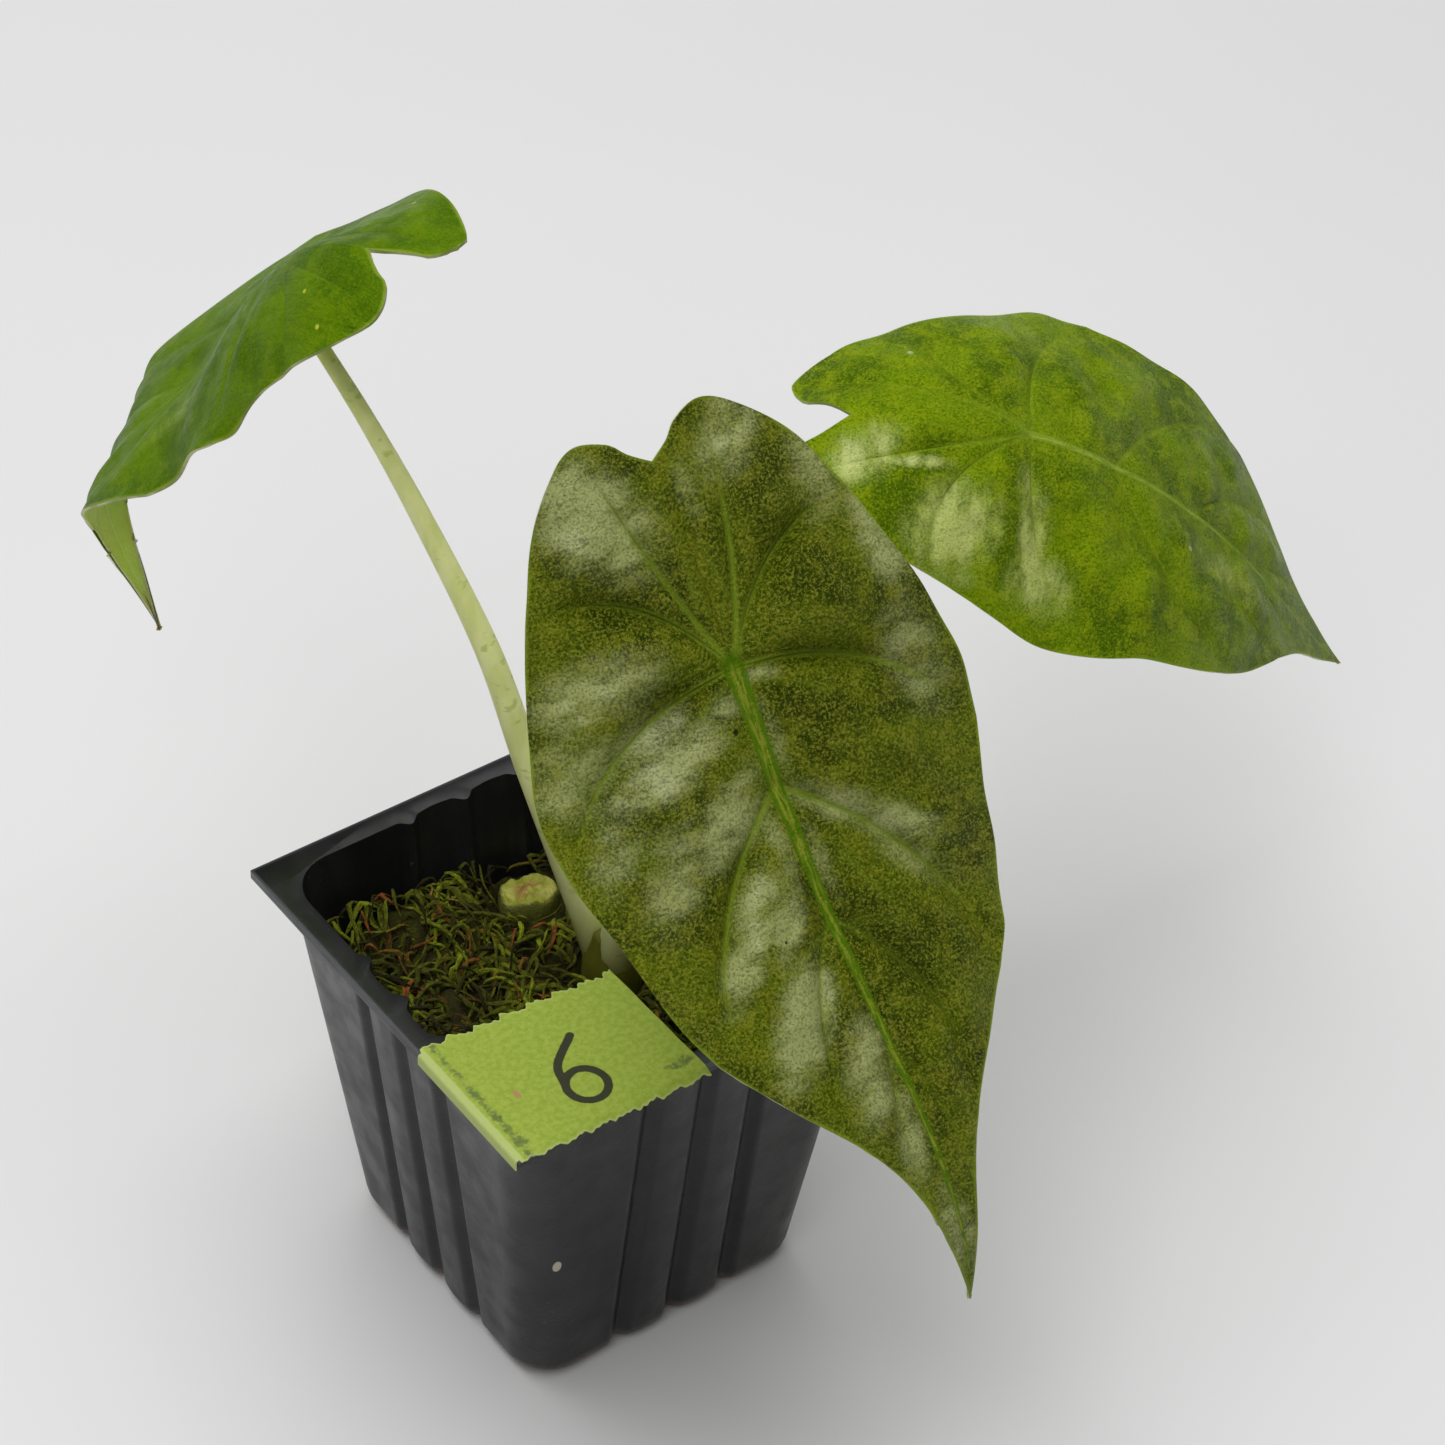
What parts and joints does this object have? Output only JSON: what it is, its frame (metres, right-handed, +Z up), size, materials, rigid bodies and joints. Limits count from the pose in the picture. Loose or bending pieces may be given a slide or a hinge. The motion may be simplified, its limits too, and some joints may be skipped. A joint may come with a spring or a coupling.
{
  "type": "potted alocasia plant",
  "caption": "Young potted foliage plant: shield-shaped mottled leaves on bare stalks, rooted in moss in a small square fluted plastic pot with a strip of masking tape on its rim.",
  "frame": {"origin": "middle of the pot's flat base, on the surface it stands on", "axes": "+Z up through the pot; -Z out of its base; the rim sides lie along X and Y, and the taped rim corner points to -X -Y"},
  "size_m": [0.1443, 0.1376, 0.1274],
  "materials": {
    "pot_plastic": "satin black, faint flow marks",
    "moss": "damp fibrous moss, olive to brown",
    "stalk": "smooth pale green stalk with faint streaks",
    "cut_stalk": "rough cut, yellow-green with a brown heart",
    "leaf": "satin green, mottled yellow, silvery sheen, pale veins",
    "tape": "matt lime green crepe tape"
  },
  "bodies": {
    "root": {"pot": "pot_plastic", "moss": "moss", "stems": "stalk", "cut_stub": "cut_stalk", "leaf_left": "leaf", "leaf_front": "leaf", "leaf_right": "leaf", "tape_label": "tape"}
  },
  "joints": []
}
